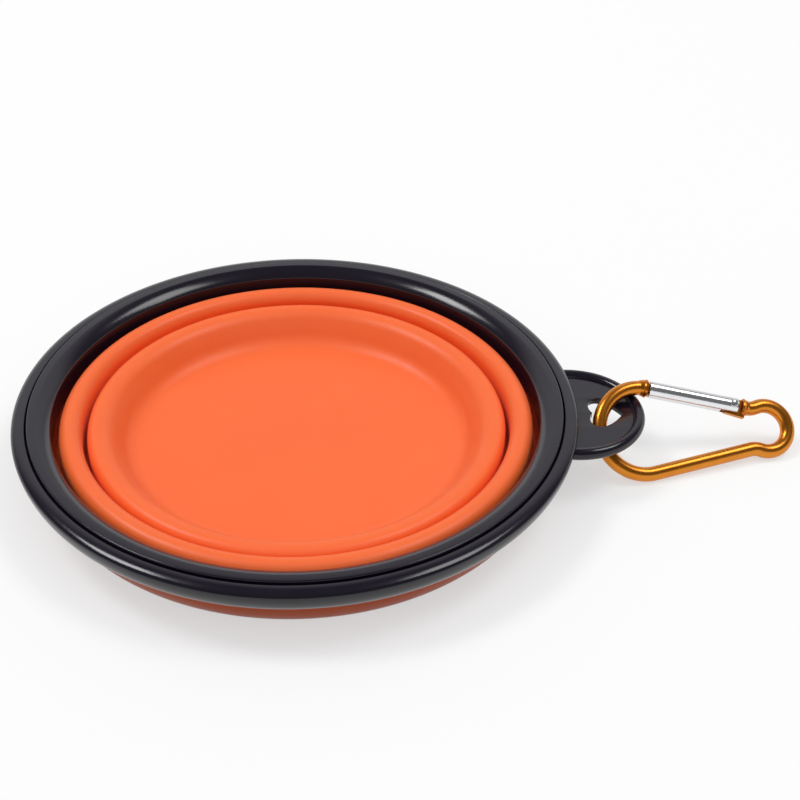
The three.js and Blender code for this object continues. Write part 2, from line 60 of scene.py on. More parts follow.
# Rim: radii step inwards from the rim's edge, heights step down from its flat top
RIM_RADIUS = 65
RIM_HEIGHT = 15.5
HOOP_WIDTH = 3.7
HOOP_EDGE_INSET = 0.6
HOOP_CROWN_DROP = 0.5
HOOP_WIDEST_DROP = 1.7
HOOP_BOTTOM_DROP = 7.1
SHELF_WIDTH = 1.7
RING_WIDTH = 5.1
RING_THICKNESS = 2.35
RING_BENDS = ((0.6, 14), (6.5, 44), (0.7, 90))
SNAP_DROP = 1.4
SKIRT_WALL = 1.2
SKIRT_DEPTH = 8
PARTING_GAP = 0.4
FLANGE_THICKNESS = 1.1
CLAMP_GAP = 0.1
LOOSE_GAP = 0.3

HOOP_INNER_RADIUS = RIM_RADIUS - HOOP_WIDTH
HOOP_EDGE_RADIUS = RIM_RADIUS - HOOP_EDGE_INSET
SHELF_RADIUS = HOOP_INNER_RADIUS - SHELF_WIDTH
RING_OUTER_RADIUS = HOOP_INNER_RADIUS - PARTING_GAP
RING_INNER_RADIUS = RING_OUTER_RADIUS - RING_WIDTH
RING_BOTTOM = RIM_HEIGHT - RING_THICKNESS
SKIRT_RADIUS = RING_INNER_RADIUS + SKIRT_WALL
SKIRT_BOTTOM = RIM_HEIGHT - SKIRT_DEPTH
FLANGE_TOP = RING_BOTTOM - CLAMP_GAP
FLANGE_BOTTOM = FLANGE_TOP - FLANGE_THICKNESS
SHELF_HEIGHT = FLANGE_BOTTOM - CLAMP_GAP

# Soft bowl: each fold has a radius, the height of its turn and half the width between its flanks
WALL = 1.4
OUTER_WALL = 2.6
RIM_WALL_ROUND = 6.5
HINGE = 1.2
FLOOR_THICKNESS = 4.0
FLOOR_WALL_BENDS = ((4.5, 50), (30, 57))
FOOT_STEP = 6.6
FOOT_BEVEL = 1.0
OUTER_VALLEY = {"radius": RING_INNER_RADIUS - 0.5, "end": 0.8, "half": 1.3}
OUTER_CREST = {"radius": OUTER_VALLEY["radius"] - 3.6, "end": RIM_HEIGHT - 2.8, "half": 2.6}
INNER_VALLEY = {"radius": OUTER_CREST["radius"] - 3.1, "end": 1.0, "half": 0.5}
INNER_CREST = {"radius": INNER_VALLEY["radius"] - 2.8, "end": RIM_HEIGHT - 4.3, "half": 2.3}
FOOT_RADIUS = INNER_CREST["radius"] - FOOT_STEP

# Hang tab
TAB_RADIUS = 16.6
TAB_CENTRE = RIM_RADIUS - 1.3
TAB_TOP = RIM_HEIGHT - 3.4
TAB_THICKNESS = 1.6
TAB_EDGE = 0.2
TAB_BEAD_RADIUS = 1.4
TAB_BEAD_HEIGHT = RIM_HEIGHT - 3.75
HEART_CUSP = RIM_RADIUS + 3.15
HEART_LENGTH = 7.3
HEART_WIDTH = 10.7

# Snap hook and its gate
ROD_DIAMETER = 3.4
ROD_SEAT = 1.62
BIG_RADIUS = 10.3
BULB_RADIUS = 5.5
BULB_DISTANCE = 31.1
LIMB_ANGLE = math.radians(11.8)
NECK_RADIUS = 5
CROSSING_TURN = math.radians(27)
HOOK_YAW = math.radians(9.8)
CROSSING = (RIM_RADIUS + 5, -1.2, TAB_TOP - TAB_THICKNESS / 2)
GATE_DIAMETER = 4.05
GATE_START = 0.5
GATE_END_PAST_RIVET = 1.3
GATE_BORE = 2.6
BORE_BOTTOM = 6
RIVET_BEFORE_NECK = 3.6
RIVET_DIAMETER = 1.1
RIVET_HEAD_DIAMETER = 2.0
RIVET_HEAD_HEIGHT = 0.4
LUG_THICKNESS = 1.4
LUG_WIDTH = 3.0
LUG_REACH = 2.0
TAIL_REACH = 1.7
TAIL_TIP_DEPTH = 2.15
TAIL_DEPTH = 2.65
COLLAR_DIAMETER = 4.35
COLLAR_CHAMFER = 0.35
COLLAR_GROOVE = 0.2
NOSE_COLLAR_LENGTH = 2.0
HINGE_COLLAR_LENGTH = 1.7
COLLAR_PAST_RIVET = 2.4
TONGUE_LENGTH = 2.5
TONGUE_THICKNESS = 1.2
TONGUE_DEPTH = 2.2
SPRING_WIRE = 0.4
SPRING_DIAMETER = 2.1
SPRING_LENGTH = 8.2
SPRING_CURLS = 9
PLUNGER_DIAMETER = 2.0
PLUNGER_STEM_DIAMETER = 0.9
PLUNGER_STEM_LENGTH = 2.4

# Smoothness of the meshes
RING_FACETS = 288
FOLD_STEPS = 14
ROD_SIDES = 40
SMALL_FACETS = 48
SEAM_FLAT = 0.1
SHARP_ANGLE = math.radians(32)


class Field:
    """A shader or geometry socket that takes part in sums and products."""

    def __init__(self, graph, socket):
        self.graph = graph
        self.socket = socket

    def math(self, operation, a, b):
        node = self.graph.add("ShaderNodeMath", {"operation": operation}, {0: a, 1: b})
        return Field(self.graph, node.outputs[0])

    def __add__(self, other):
        return self.math("ADD", self, other)

    def __radd__(self, other):
        return self.math("ADD", other, self)

    def __sub__(self, other):
        return self.math("SUBTRACT", self, other)

    def __rsub__(self, other):
        return self.math("SUBTRACT", other, self)

    def __mul__(self, other):
        return self.math("MULTIPLY", self, other)

    def __rmul__(self, other):
        return self.math("MULTIPLY", other, self)

    def at_least(self, floor):
        return self.math("MAXIMUM", self, floor)

    def at_most(self, ceiling):
        return self.math("MINIMUM", self, ceiling)


class Graph:
    """A node tree that is filled node by node, from a type, its settings and its sockets."""

    def __init__(self, tree):
        self.tree = tree

    def add(self, kind, settings=None, sockets=None):
        node = self.tree.nodes.new(kind)
        for name, value in (settings or {}).items():
            setattr(node, name, value)
        for name, value in (sockets or {}).items():
            self.feed(node.inputs[name], value)
        return node

    def feed(self, socket, value):
        if isinstance(value, Field):
            self.tree.links.new(value.socket, socket)
        elif isinstance(value, bpy.types.NodeSocket):
            self.tree.links.new(value, socket)
        else:
            socket.default_value = value

    def field(self, kind, settings=None, sockets=None, output=0):
        return Field(self, self.add(kind, settings, sockets).outputs[output])


# Finishes
class Finish(Graph):
    """A procedural material on the piece's own coordinates."""

    def __init__(self, name, **fixed):
        self.material = bpy.data.materials.new(name)
        self.material.use_nodes = True
        super().__init__(self.material.node_tree)
        self.tree.nodes.clear()
        self.shader = self.add("ShaderNodeBsdfPrincipled", {}, fixed)
        self.output = self.add("ShaderNodeOutputMaterial")
        self.feed(self.output.inputs["Surface"], self.shader.outputs["BSDF"])
        self.place = self.add("ShaderNodeTexCoord").outputs["Object"]

    def noise(self, size, detail=2.0, stretch=None, turn=(0, 0, 0)):
        """Noise whose blotches are about the given number of millimetres across."""
        place = self.place
        if stretch:
            settings = {"vector_type": "TEXTURE"}
            sockets = {"Vector": place, "Rotation": turn, "Scale": stretch}
            place = self.add("ShaderNodeMapping", settings, sockets).outputs[0]
        sockets = {"Vector": place, "Scale": 1 / (size * MM), "Detail": detail}
        return self.field("ShaderNodeTexNoise", {}, sockets)

    def between(self, share, low, high):
        sockets = {0: share, 6: (*low, 1), 7: (*high, 1)}
        return self.field("ShaderNodeMix", {"data_type": "RGBA"}, sockets, 2)

    def roughened(self, height, depth, strength=1.0):
        """A bump of the given depth in millimetres."""
        sockets = {"Strength": strength, "Distance": depth * MM, "Height": height}
        self.feed(self.shader.inputs["Normal"], self.add("ShaderNodeBump", {}, sockets).outputs[0])

    def look(self, **sockets):
        for name, value in sockets.items():
            self.feed(self.shader.inputs[name.replace("_", " ")], value)
        return self.material


def make_silicone():
    finish = Finish("satin_silicone", IOR=1.42)
    finish.shader.inputs["Sheen Weight"].default_value = 0.07
    finish.shader.inputs["Sheen Roughness"].default_value = 0.4
    finish.shader.inputs["Subsurface Weight"].default_value = 0.08
    finish.shader.inputs["Subsurface Radius"].default_value = (1.0, 0.25, 0.08)
    finish.shader.inputs["Subsurface Scale"].default_value = 2 * MM
    cloud = finish.noise(22, 3)
    grain = finish.noise(0.35, 2)
    lint = finish.noise(2.6, 4)
    colour = finish.between(cloud, (0.97, 0.142, 0.028), (1.0, 0.166, 0.036))
    finish.roughened(grain * 0.6 + lint * 0.4, 0.02, 0.6)
    return finish.look(Base_Color=colour, Roughness=0.32 + 0.14 * lint)


def make_black_plastic():
    finish = Finish("moulded_black_plastic", IOR=1.5)
    cloud = finish.noise(9, 3)
    grain = finish.noise(0.25, 2)
    colour = finish.between(cloud, (0.007, 0.005, 0.012), (0.010, 0.007, 0.016))
    finish.roughened(grain * 0.5 + cloud * 0.5, 0.012, 0.5)
    return finish.look(Base_Color=colour, Roughness=0.13 + 0.08 * cloud)


def make_gold():
    finish = Finish("gold_anodised_aluminium", Metallic=1.0)
    cloud = finish.noise(3, 3)
    grain = finish.noise(0.12, 2)
    colour = finish.between(cloud, (0.64, 0.215, 0.024), (0.76, 0.275, 0.036))
    finish.roughened(grain, 0.002, 0.4)
    return finish.look(Base_Color=colour, Roughness=0.25 + 0.08 * cloud)


def make_silver(turn):
    finish = Finish("bright_satin_aluminium", Metallic=1.0)
    lines = finish.noise(0.10, 2, stretch=(40, 1, 1), turn=turn)
    cloud = finish.noise(4, 2)
    colour = finish.between(cloud, (0.80, 0.81, 0.84), (0.88, 0.88, 0.90))
    finish.roughened(lines, 0.002, 0.3)
    return finish.look(Base_Color=colour, Roughness=0.17 + 0.10 * lines)


def make_steel():
    finish = Finish("plain_steel", Metallic=1.0)
    cloud = finish.noise(1.2, 3)
    colour = finish.between(cloud, (0.55, 0.56, 0.58), (0.68, 0.69, 0.71))
    finish.roughened(cloud, 0.006, 0.4)
    return finish.look(Base_Color=colour, Roughness=0.22 + 0.14 * cloud)


# Geometry node trees
def new_tree(name, inputs):
    tree = bpy.data.node_groups.new(name, "GeometryNodeTree")
    tree.interface.new_socket("Drawing", in_out="INPUT", socket_type="NodeSocketGeometry")
    for socket, kind in inputs.items():
        tree.interface.new_socket(socket, in_out="INPUT", socket_type=kind)
    tree.interface.new_socket("Piece", in_out="OUTPUT", socket_type="NodeSocketGeometry")
    graph = Graph(tree)
    given = graph.add("NodeGroupInput").outputs
    return graph, given


def end_tree(graph, mesh, material):
    merged = graph.add("GeometryNodeMergeByDistance", {}, {"Geometry": mesh, "Distance": 1e-7}).outputs[0]
    real = graph.add("GeometryNodeRealizeInstances", {}, {"Geometry": merged}).outputs[0]
    finished = graph.add("GeometryNodeSetMaterial", {}, {"Geometry": real, "Material": material}).outputs[0]
    graph.add("NodeGroupOutput", {}, {"Piece": finished})
    return graph.tree


def make_turning_tree():
    """Turns a section, drawn with X as radius and Z as height, about the upright axis."""
    inputs = {"Facets": "NodeSocketInt", "Finish": "NodeSocketMaterial"}
    graph, given = new_tree("turned_section", inputs)
    radius = 0.05
    circle = graph.add(
        "GeometryNodeCurvePrimitiveCircle", {}, {"Resolution": given["Facets"], "Radius": radius}
    ).outputs[0]
    position = graph.add("GeometryNodeInputPosition").outputs[0]
    drawn = graph.add("ShaderNodeSeparateXYZ", {}, {0: position}).outputs
    outwards = Field(graph, drawn["X"]) - radius
    downwards = 0 - Field(graph, drawn["Z"])
    laid = graph.add("ShaderNodeCombineXYZ", {}, {"X": outwards, "Y": downwards}).outputs[0]
    curve = graph.add("GeometryNodeMeshToCurve", {}, {"Mesh": given["Drawing"]}).outputs[0]
    profile = graph.add("GeometryNodeSetPosition", {}, {"Geometry": curve, "Position": laid}).outputs[0]
    mesh = graph.add("GeometryNodeCurveToMesh", {}, {"Curve": circle, "Profile Curve": profile}).outputs[0]
    return end_tree(graph, mesh, given["Finish"])


def make_rod_tree():
    """Runs a round rod with closed ends along a drawn line."""
    inputs = {"Diameter": "NodeSocketFloat", "Sides": "NodeSocketInt", "Finish": "NodeSocketMaterial"}
    graph, given = new_tree("rod_along_line", inputs)
    half = Field(graph, given["Diameter"]) * 0.5
    circle = graph.add(
        "GeometryNodeCurvePrimitiveCircle", {}, {"Resolution": given["Sides"], "Radius": half}
    ).outputs[0]
    curve = graph.add("GeometryNodeMeshToCurve", {}, {"Mesh": given["Drawing"]}).outputs[0]
    sockets = {"Curve": curve, "Profile Curve": circle, "Fill Caps": True}
    mesh = graph.add("GeometryNodeCurveToMesh", {}, sockets).outputs[0]
    return end_tree(graph, mesh, given["Finish"])


def make_coil_tree():
    """Winds a wire into a spring along Z."""
    inputs = {
        "Curls": "NodeSocketFloat",
        "Diameter": "NodeSocketFloat",
        "Length": "NodeSocketFloat",
        "Wire": "NodeSocketFloat",
        "Finish": "NodeSocketMaterial",
    }
    graph, given = new_tree("wound_spring", inputs)
    wire = Field(graph, given["Wire"])
    radius = (Field(graph, given["Diameter"]) - wire) * 0.5
    sockets = {
        "Resolution": 40,
        "Rotations": given["Curls"],
        "Start Radius": radius,
        "End Radius": radius,
        "Height": Field(graph, given["Length"]) - wire,
    }
    line = graph.add("GeometryNodeCurveSpiral", {}, sockets).outputs[0]
    circle = graph.add(
        "GeometryNodeCurvePrimitiveCircle", {}, {"Resolution": 12, "Radius": wire * 0.5}
    ).outputs[0]
    sockets = {"Curve": line, "Profile Curve": circle, "Fill Caps": True}
    mesh = graph.add("GeometryNodeCurveToMesh", {}, sockets).outputs[0]
    return end_tree(graph, mesh, given["Finish"])


def grown(name, tree, points, closed, values):
    """Draws points as a line of edges, runs a tree on it and keeps the plain mesh."""
    drawing = bpy.data.meshes.new(name)
    edges = [(i, i + 1) for i in range(len(points) - 1)]
    if closed:
        edges.append((len(points) - 1, 0))
    drawing.from_pydata([Vector(p) * MM for p in points], edges, [])
    piece = bpy.data.objects.new(name, drawing)
    bpy.context.collection.objects.link(piece)
    modifier = piece.modifiers.new(tree.name, "NODES")
    modifier.node_group = tree
    for socket in tree.interface.items_tree:
        if socket.in_out == "INPUT" and socket.name in values:
            modifier[socket.identifier] = values[socket.name]
    shaped = piece.evaluated_get(bpy.context.evaluated_depsgraph_get())
    mesh = bpy.data.meshes.new_from_object(shaped)
    piece.modifiers.remove(modifier)
    piece.data = mesh
    tidied(piece)
    return piece


def tidied(piece):
    """Points every face outwards and shades the mesh smooth, apart from its sharp edges."""
    shape = bmesh.new()
    shape.from_mesh(piece.data)
    bmesh.ops.remove_doubles(shape, verts=shape.verts, dist=1e-7)
    bmesh.ops.dissolve_degenerate(shape, edges=shape.edges, dist=1e-7)
    bmesh.ops.recalc_face_normals(shape, faces=shape.faces)
    shape.to_mesh(piece.data)
    shape.free()
    piece.data.shade_smooth()
    piece.data.set_sharp_from_angle(angle=SHARP_ANGLE)
    return piece


def placed(piece, matrix):
    """Moves a mesh, in millimetres, to its place on the object."""
    metres = matrix.copy()
    metres.translation = matrix.translation * MM
    piece.data.transform(metres)
    return piece


def joined(keep, *others, operation="UNION"):
    """Joins other solids to a piece, or cuts them from it."""
    for other in others:
        modifier = keep.modifiers.new("solid", "BOOLEAN")
        modifier.operation = operation
        modifier.solver = "MANIFOLD"
        modifier.object = other
        shaped = keep.evaluated_get(bpy.context.evaluated_depsgraph_get())
        mesh = bpy.data.meshes.new_from_object(shaped)
        keep.modifiers.remove(modifier)
        keep.data = mesh
        bpy.data.objects.remove(other)
    return tidied(keep)


def cut(keep, *tools):
    return joined(keep, *tools, operation="DIFFERENCE")


TURNING = make_turning_tree()
ROD = make_rod_tree()
COIL = make_coil_tree()


def turned(name, section, finish, facets=RING_FACETS):
    """A section of (radius, height) points turned about the upright axis."""
    points = [(r, 0, z) for r, z in section]
    closed = section[0][0] > 0
    return grown(name, TURNING, points, closed, {"Facets": facets, "Finish": finish})


def rod(name, points, diameter, finish, sides=ROD_SIDES):
    values = {"Diameter": diameter * MM, "Sides": sides, "Finish": finish}
    return grown(name, ROD, points, False, values)


def block(name, low, high, finish):
    """A box between two corners, for a lug or a cut."""
    shape = bmesh.new()
    size = Vector(high) - Vector(low)
    middle = (Vector(high) + Vector(low)) / 2
    matrix = Matrix.Translation(middle * MM) @ Matrix.Diagonal((*(size * MM), 1))
    bmesh.ops.create_cube(shape, size=1, matrix=matrix)
    mesh = bpy.data.meshes.new(name)
    shape.to_mesh(mesh)
    shape.free()
    mesh.materials.append(finish)
    piece = bpy.data.objects.new(name, mesh)
    bpy.context.collection.objects.link(piece)
    return piece


# Sections
def arc(r, z, width, height, start, end, steps=FOLD_STEPS):
    angles = [math.radians(start + (end - start) * i / steps) for i in range(steps + 1)]
    return [(r + width * math.cos(a), z + height * math.sin(a)) for a in angles]


def bent(r, z, bends, steps=FOLD_STEPS):
    """A line that starts inwards and level.

    Each bend has a radius, below zero if hollow, and its last slope down in degrees.
    """
    points = [(r, z)]
    slope = 0
    for radius, end in bends:
        turn = math.radians(end) - slope
        for i in range(1, steps + 1):
            a = slope + turn * i / steps
            inwards = radius * (math.sin(a) - math.sin(slope))
            down = radius * (math.cos(slope) - math.cos(a))
            points.append((r - inwards, z - down))
        r, z = points[-1]
        slope = math.radians(end)
    return points


def quarter(fold, centre, width, height, side, end):
    """A quarter turn from a flank to the fold's middle, level there so that two sections meet smoothly."""
    start = 0 if side > 0 else math.copysign(180, end)
    bend = arc(fold["radius"] + side * SEAM_FLAT, centre, width - SEAM_FLAT, height, start, end)
    return [*bend, (fold["radius"], centre + math.copysign(height, end))]


def valley_top(valley, side):
    centre = valley["end"] + HINGE + valley["half"]
    return quarter(valley, centre, valley["half"], valley["half"], side, -90)


def valley_under(valley, side, wall):
    centre = valley["end"] + HINGE + valley["half"]
    return quarter(valley, centre, valley["half"] + wall, valley["half"] + HINGE, side, -90)


def crest_top(crest, side):
    centre = crest["end"] - crest["half"]
    return quarter(crest, centre, crest["half"], crest["half"], side, 90)


def crest_hollow(crest, side):
    centre = crest["end"] - crest["half"]
    return quarter(crest, centre, crest["half"] - WALL, crest["half"] - HINGE, side, 90)


def rim_wall_section():
    flange = HOOP_INNER_RADIUS - LOOSE_GAP
    inside = SKIRT_RADIUS + CLAMP_GAP
    under = OUTER_VALLEY["end"] + RIM_WALL_ROUND
    return [
        *reversed(quarter(OUTER_VALLEY, under, OUTER_VALLEY["half"] + OUTER_WALL, RIM_WALL_ROUND, 1, -90)),
        (SHELF_RADIUS - LOOSE_GAP, FLANGE_BOTTOM),
        (flange, FLANGE_BOTTOM),
        (flange, FLANGE_TOP),
        (inside, FLANGE_TOP),
        (inside, SKIRT_BOTTOM - CLAMP_GAP),
        *valley_top(OUTER_VALLEY, 1),
    ]


def fold_section(valley, crest):
    return [
        *reversed(valley_top(valley, -1)),
        *crest_top(crest, 1),
        *reversed(crest_hollow(crest, 1)),
        *valley_under(valley, -1, WALL),
    ]


def middle_wall_section():
    return [
        *reversed(valley_under(INNER_VALLEY, 1, WALL)),
        *crest_hollow(OUTER_CREST, -1),
        *reversed(crest_top(OUTER_CREST, -1)),
        *valley_top(INNER_VALLEY, 1),
    ]


def base_cup_section():
    """Floor and wall: the wall bends over from the inner crest and hollows out into the floor."""
    crest = (INNER_CREST["radius"], INNER_CREST["end"])
    foot = FOOT_RADIUS + FOOT_BEVEL
    (bend, start), (_, slope) = FLOOR_WALL_BENDS
    low = bent(*crest, FLOOR_WALL_BENDS)[-1][1]
    hollow = (low - FLOOR_THICKNESS) / (math.cos(math.radians(slope)) - 1)
    under = bent(crest[0], crest[1] - HINGE, ((bend - WALL, start),))
    reach = (under[-1][0] - foot) * math.tan(math.radians((start + slope) / 2))
    return [
        (0, 0),
        (FOOT_RADIUS, 0),
        (foot, FOOT_BEVEL),
        (foot, under[-1][1] - reach),
        *reversed(under),
        *bent(*crest, (*FLOOR_WALL_BENDS, (hollow, 0))),
        (0, FLOOR_THICKNESS),
    ]


def clamp_ring_section():
    edge = SKIRT_WALL / 2
    snap = HOOP_INNER_RADIUS - CLAMP_GAP
    shoulder = bent(0, RIM_HEIGHT, RING_BENDS)
    inner = RING_INNER_RADIUS - shoulder[-1][0]
    return [
        *arc(RING_INNER_RADIUS + edge, SKIRT_BOTTOM + edge, edge, edge, 180, 360, 8),
        (SKIRT_RADIUS, RING_BOTTOM),
        (snap, RING_BOTTOM),
        (snap, RIM_HEIGHT - SNAP_DROP),
        (RING_OUTER_RADIUS, RIM_HEIGHT - SNAP_DROP + PARTING_GAP),
        *arc(RING_OUTER_RADIUS - LOOSE_GAP, RIM_HEIGHT - LOOSE_GAP, LOOSE_GAP, LOOSE_GAP, 0, 90, 5),
        *[(inner + r, z) for r, z in shoulder],
    ]


def hoop_section():
    widest = RIM_HEIGHT - HOOP_WIDEST_DROP
    bottom = RIM_HEIGHT - HOOP_BOTTOM_DROP
    crown = RIM_HEIGHT - HOOP_CROWN_DROP
    start = HOOP_INNER_RADIUS + LOOSE_GAP
    return [
        *arc(SHELF_RADIUS, widest, HOOP_EDGE_RADIUS - SHELF_RADIUS, widest - bottom, -90, 0, 2 * FOLD_STEPS),
        *arc(start, widest, HOOP_EDGE_RADIUS - start, crown - widest, 0, 90, 2 * FOLD_STEPS)[1:],
        *arc(start, crown - LOOSE_GAP, LOOSE_GAP, LOOSE_GAP, 90, 180, 5)[1:],
        (HOOP_INNER_RADIUS, SHELF_HEIGHT),
        (SHELF_RADIUS, SHELF_HEIGHT),
    ]


# Hang tab
def bezier(a, b, c, d, steps=24):
    points = []
    for i in range(steps):
        t = i / steps
        s = 1 - t
        weights = (s**3, 3 * s * s * t, 3 * s * t * t, t**3)
        points.append(tuple(sum(w * p[k] for w, p in zip(weights, (a, b, c, d))) for k in (0, 1)))
    return points


def heart_outline():
    """A heart with its cusp towards the rim and its point outwards."""
    half = HEART_WIDTH / 2
    tip = HEART_CUSP + HEART_LENGTH
    widest = HEART_CUSP + 0.2 * HEART_LENGTH
    back = HEART_CUSP - 0.16 * HEART_LENGTH
    shoulder = HEART_CUSP + 0.52 * HEART_LENGTH
    taper = HEART_CUSP + 0.84 * HEART_LENGTH
    lobe = bezier((HEART_CUSP, 0), (back, 0.3 * half), (back, half), (widest, half))
    flank = bezier((widest, half), (shoulder, half), (taper, 0.36 * half), (tip, 0))
    upper = [*lobe, *flank, (tip, 0)]
    lower = [(x, -y) for x, y in reversed(upper[1:-1])]
    return [*upper, *lower]


def plate(name, outlines, low, high, edge, finish):
    """A flat plate with rounded edges between two heights, from an outline and its holes."""
    drawing = bpy.data.curves.new(name, "CURVE")
    drawing.dimensions = "2D"
    drawing.fill_mode = "BOTH"
    drawing.extrude = ((high - low) / 2 - edge) * MM
    drawing.bevel_depth = edge * MM
    drawing.bevel_resolution = 2
    drawing.offset = -edge * MM
    for outline in outlines:
        spline = drawing.splines.new("POLY")
        spline.points.add(len(outline) - 1)
        spline.use_cyclic_u = True
        for point, (x, y) in zip(spline.points, outline):
            point.co = (x * MM, y * MM, 0, 1)
    sketch = bpy.data.objects.new(name + "_drawing", drawing)
    bpy.context.collection.objects.link(sketch)
    shaped = sketch.evaluated_get(bpy.context.evaluated_depsgraph_get())
    mesh = bpy.data.meshes.new_from_object(shaped)
    bpy.data.objects.remove(sketch)
    mesh.transform(Matrix.Translation((0, 0, (low + high) / 2 * MM)))
    mesh.materials.clear()
    mesh.materials.append(finish)
    piece = bpy.data.objects.new(name, mesh)
    bpy.context.collection.objects.link(piece)
    return tidied(piece)


def make_rim_hoop(finish):
    bead_line = TAB_RADIUS - TAB_BEAD_RADIUS
    circle = [(TAB_CENTRE + x, y) for x, y in arc(0, 0, bead_line, bead_line, 0, 360, 180)[:-1]]
    tab = plate("tab", [circle, heart_outline()], TAB_TOP - TAB_THICKNESS, TAB_TOP, TAB_EDGE, finish)
    line = [(TAB_CENTRE + x, y, TAB_BEAD_HEIGHT) for x, y in arc(0, 0, bead_line, bead_line, -110, 110, 120)]
    bead = rod("tab_bead", line, 2 * TAB_BEAD_RADIUS, finish)
    inside = HOOP_INNER_RADIUS + LOOSE_GAP
    hollow = turned("hollow", [(0, -5), (inside, -5), (inside, 25), (0, 25)], finish)
    tab = cut(joined(tab, bead), hollow)
    return joined(turned("rim_hoop_moulding", hoop_section(), finish), tab)


# Snap hook: X runs from the big end to the bulb, and the gate's limb is on the +Y side
NECK_REACH = BULB_RADIUS + NECK_RADIUS
NECK_RISE = BIG_RADIUS + NECK_RADIUS - BULB_DISTANCE * math.sin(LIMB_ANGLE)
NECK_ANGLE = LIMB_ANGLE + math.asin(NECK_RISE / NECK_REACH)
NECK_X = BULB_DISTANCE - NECK_REACH * math.cos(NECK_ANGLE)
NECK_Y = NECK_REACH * math.sin(NECK_ANGLE)
LIMB_LENGTH = NECK_X * math.cos(LIMB_ANGLE) - NECK_Y * math.sin(LIMB_ANGLE)
RIVET_PLACE = LIMB_LENGTH - RIVET_BEFORE_NECK
HINGE_FACE = RIVET_PLACE + COLLAR_PAST_RIVET
LUG_END = RIVET_PLACE - LUG_REACH


def hook_place():
    """The hook's own frame: both ends touch the table, and the rod meets the plate at the plate's height."""
    slope = (CROSSING[2] - ROD_SEAT) / (BIG_RADIUS * (1 + math.sin(CROSSING_TURN)))
    dip = -slope * (BIG_RADIUS - BULB_RADIUS) / BULB_DISTANCE
    level = math.sqrt(1 - dip * dip)
    rise = math.sqrt(slope * slope - dip * dip)
    lean = math.asin(rise / level)
    along = Vector((math.cos(HOOK_YAW) * level, math.sin(HOOK_YAW) * level, dip))
    flat = Vector((-math.sin(HOOK_YAW), math.cos(HOOK_YAW), 0))
    across = flat * math.cos(lean) + along.cross(flat) * math.sin(lean)
    normal = along.cross(across)
    angle = math.pi - CROSSING_TURN + math.atan2(-dip, rise)
    offset = along * math.cos(angle) + across * math.sin(angle)
    centre = Vector(CROSSING) - BIG_RADIUS * offset
    place = Matrix((along, across, normal)).transposed().to_4x4()
    place.translation = centre
    return place


HOOK = hook_place()
LIMB_START = Vector((BIG_RADIUS * math.sin(LIMB_ANGLE), BIG_RADIUS * math.cos(LIMB_ANGLE), 0))
LIMB = HOOK @ Matrix.Translation(LIMB_START) @ Matrix.Rotation(-LIMB_ANGLE, 4, "Z")
ALONG_X = Matrix.Rotation(math.pi / 2, 4, "Y")
RIVET_AXIS = LIMB @ Matrix.Translation((RIVET_PLACE, 0, 0))


def hook_line():
    limb = math.degrees(LIMB_ANGLE)
    meet = math.degrees(NECK_ANGLE)
    bends = [
        *arc(0, 0, BIG_RADIUS, BIG_RADIUS, 90 - limb, 270 + limb, 60),
        *arc(NECK_X, -NECK_Y, NECK_RADIUS, NECK_RADIUS, 90 + limb, meet, 20),
        *arc(BULB_DISTANCE, 0, BULB_RADIUS, BULB_RADIUS, meet - 180, 180 - meet, 60)[1:],
        *arc(NECK_X, NECK_Y, NECK_RADIUS, NECK_RADIUS, -meet, -90 - limb, 20)[1:],
    ]
    return [HOOK @ Vector((x, y, 0)) for x, y in bends]


def shaft(name, section, finish, facets=SMALL_FACETS):
    """A section of (radius, place along the limb) points turned about the gate's limb."""
    return placed(turned(name, section, finish, facets), LIMB @ ALONG_X)


def collar(name, face, back, finish):
    """A grooved collar that is widest next to its face and tapers to the rod at its back."""
    radius = COLLAR_DIAMETER / 2
    rod_radius = ROD_DIAMETER / 2
    length = abs(back - face)
    middle = (radius + rod_radius) / 2
    profile = [
        (0, 0),
        (radius - COLLAR_CHAMFER, 0),
        (radius, COLLAR_CHAMFER),
        (middle + COLLAR_GROOVE / 2, length / 2 - COLLAR_GROOVE),
        (middle - COLLAR_GROOVE / 2, length / 2),
        (middle, length / 2 + COLLAR_GROOVE),
        (rod_radius, length),
        (0, length),
    ]
    way = math.copysign(1, back - face)
    return shaft(name, [(r, face + way * s) for r, s in profile], finish)


def limb_block(name, low, high, finish):
    return placed(block(name, low, high, finish), LIMB)


def rivet_bore(finish):
    radius = RIVET_DIAMETER / 2 + LOOSE_GAP
    reach = 2 * GATE_DIAMETER
    bore = turned("bore", [(0, -reach), (radius, -reach), (radius, reach), (0, reach)], finish, SMALL_FACETS)
    return placed(bore, RIVET_AXIS)


